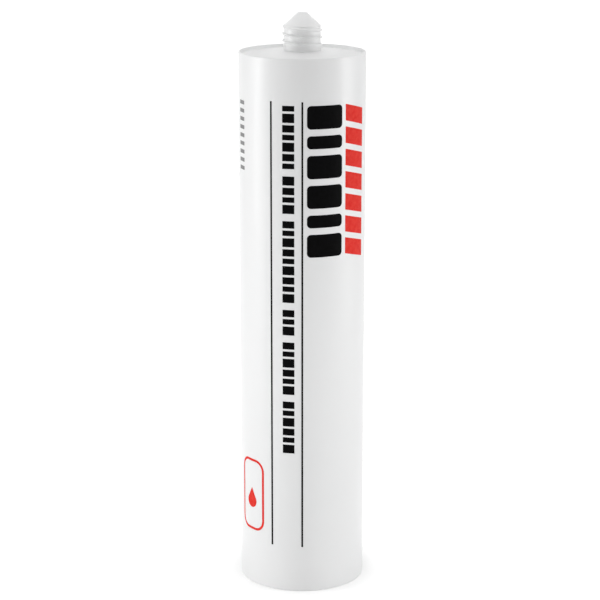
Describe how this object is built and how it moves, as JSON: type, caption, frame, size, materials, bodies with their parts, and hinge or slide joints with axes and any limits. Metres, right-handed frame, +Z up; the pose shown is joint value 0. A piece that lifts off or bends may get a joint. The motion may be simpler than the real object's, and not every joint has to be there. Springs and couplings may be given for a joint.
{
  "type": "sealant cartridge",
  "caption": "White cylindrical cartridge with a dished head, threaded neck and closed cone, open at the rear, with a sliding cup piston behind the sealant it holds.",
  "frame": {"origin": "centre of the open rear end, on the plane that the cartridge stands on", "axes": "+Z up along the barrel towards the neck, -Y towards the printed front, +X to the right of someone who reads it"},
  "size_m": [0.05, 0.05, 0.2299],
  "materials": {
    "barrel_polyethylene": "satin moulded polyethylene, white",
    "piston_polyethylene": "matt moulded polyethylene, milky white",
    "silicone": "wet paste, off-white",
    "ink_black": "printed ink, black",
    "ink_red": "printed ink, red",
    "ink_grey": "printed ink, grey"
  },
  "bodies": {
    "barrel": {"cartridge": "barrel_polyethylene", "sealant": "silicone", "print_black": "ink_black", "print_red": "ink_red", "print_grey": "ink_grey"},
    "piston": {"piston": "piston_polyethylene"}
  },
  "joints": [
    {"name": "piston_slide", "type": "slide", "parent": "barrel", "child": "piston", "axis": [0, 0, 1], "range_m": [0, 0.1792], "deforming": ["sealant"]}
  ]
}
